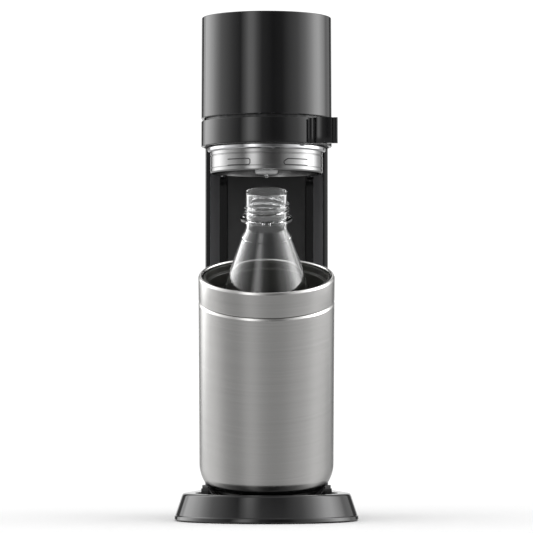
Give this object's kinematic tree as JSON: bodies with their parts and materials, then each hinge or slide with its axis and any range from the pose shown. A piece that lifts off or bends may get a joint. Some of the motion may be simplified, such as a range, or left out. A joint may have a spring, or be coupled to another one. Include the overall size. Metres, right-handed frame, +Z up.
{
  "type": "soda carbonator",
  "caption": "Countertop soda carbonator with a gas tower, a head with a sliding lock ring, and a steel carrier with a clear bottle tipped forward in its round base.",
  "frame": {"origin": "centre of the whole object's box on the floor, carrier tipped forward", "axes": "+Z up, -Y towards the side the bottle tips out, +X to the right seen from there"},
  "size_m": [0.161, 0.2764, 0.44],
  "materials": {
    "gloss_black_plastic": "high gloss",
    "satin_black_plastic": "satin",
    "brushed_steel": "brushed",
    "polished_steel": "polished",
    "liner_plastic": "satin",
    "black_rubber": "matt",
    "seal_rubber": "matt",
    "clear_plastic": "clear",
    "aluminium": "satin",
    "brass": "turned",
    "lever_plastic": "satin",
    "inner_plastic": "matt"
  },
  "bodies": {
    "frame": {"base_shell": "gloss_black_plastic", "base_plate": "satin_black_plastic", "foot_1": "black_rubber", "foot_2": "black_rubber", "foot_3": "black_rubber", "foot_4": "black_rubber", "foot_5": "black_rubber", "base_screw_1": "polished_steel", "base_screw_2": "polished_steel", "base_screw_3": "polished_steel", "base_screw_4": "polished_steel", "cradle_bearing_left": "satin_black_plastic", "cradle_bearing_right": "satin_black_plastic", "tower_casing": "gloss_black_plastic", "tower_front_panel": "satin_black_plastic", "inner_frame": "inner_plastic", "rocker_pin": "polished_steel", "guide_rod_left": "polished_steel", "guide_rod_right": "polished_steel", "head_cover": "gloss_black_plastic", "button_bezel": "polished_steel", "button_guide": "inner_plastic", "button_spring": "polished_steel", "gas_cylinder": "aluminium", "cylinder_valve": "brass", "cylinder_seat": "inner_plastic", "valve_block": "aluminium", "gas_feed_tube": "polished_steel", "connect_bracket": "inner_plastic", "connect_pin": "polished_steel"},
    "lock_head": {"handle_band": "gloss_black_plastic", "lock_hub": "satin_black_plastic", "lock_flange": "polished_steel", "lock_ring": "brushed_steel", "nozzle_body": "satin_black_plastic", "nozzle_tip": "clear_plastic", "nozzle_seal": "seal_rubber", "inner_sleeve": "satin_black_plastic", "feed_sleeve": "inner_plastic", "guide_bush_left": "inner_plastic", "guide_bush_right": "inner_plastic"},
    "cradle": {"cradle_tray": "satin_black_plastic"},
    "carrier": {"carrier_shell": "brushed_steel", "carrier_collar": "brushed_steel", "carrier_liner": "liner_plastic", "carrier_pad": "black_rubber"},
    "bottle": {"bottle": "clear_plastic"},
    "button": {"carbonating_button": "gloss_black_plastic"},
    "rocker": {"valve_rocker": "brushed_steel"},
    "valve_pin": {"valve_pin": "polished_steel"},
    "connect_lever": {"quick_connect_lever": "lever_plastic"},
    "back_cover": {"back_cover": "gloss_black_plastic"},
    "cover_latch": {"cover_latch": "satin_black_plastic"}
  },
  "joints": [
    {"name": "lock_head_slide", "type": "slide", "parent": "frame", "child": "lock_head", "axis": [0, 0, 1], "range_m": [-0.045, 0]},
    {"name": "cradle_tilt", "type": "hinge", "parent": "frame", "child": "cradle", "pos_m": [0, -0.0238, 0.024], "axis": [1, 0, 0], "range_deg": [-17.5, 0]},
    {"name": "carrier_lift_out", "type": "slide", "parent": "cradle", "child": "carrier", "axis": [0, -0.7071, 0.7071], "range_m": [0, 0.25]},
    {"name": "bottle_lift_out", "type": "slide", "parent": "carrier", "child": "bottle", "axis": [0, -0.3007, 0.9537], "range_m": [0, 0.095]},
    {"name": "button_press", "type": "slide", "parent": "frame", "child": "button", "axis": [0, 0, -1], "range_m": [0, 0.005], "stiffness_N_per_m": 600, "springref_m": -0.001, "deforming": ["button_spring"]},
    {"name": "rocker_turn", "type": "hinge", "parent": "frame", "child": "rocker", "pos_m": [0, 0.0942, 0.4144], "axis": [1, 0, 0], "range_deg": [0, 2.43]},
    {"name": "valve_pin_press", "type": "slide", "parent": "frame", "child": "valve_pin", "axis": [0, 0, -1], "range_m": [0, 0.0008]},
    {"name": "connect_lever_turn", "type": "hinge", "parent": "frame", "child": "connect_lever", "pos_m": [0, 0.1142, 0.34], "axis": [1, 0, 0], "range_deg": [0, 70]},
    {"name": "back_cover_off", "type": "slide", "parent": "frame", "child": "back_cover", "axis": [0, 1, 0], "range_m": [0, 0.09]},
    {"name": "cover_latch_press", "type": "slide", "parent": "back_cover", "child": "cover_latch", "axis": [0, -1, 0], "range_m": [0, 0.0025], "stiffness_N_per_m": 400, "springref_m": -0.001}
  ],
  "couplings": [
    {"joint": "rocker_turn", "follows": "button_press", "rad_per_m": 8.4746},
    {"joint": "valve_pin_press", "follows": "button_press", "ratio": 0.15254}
  ]
}
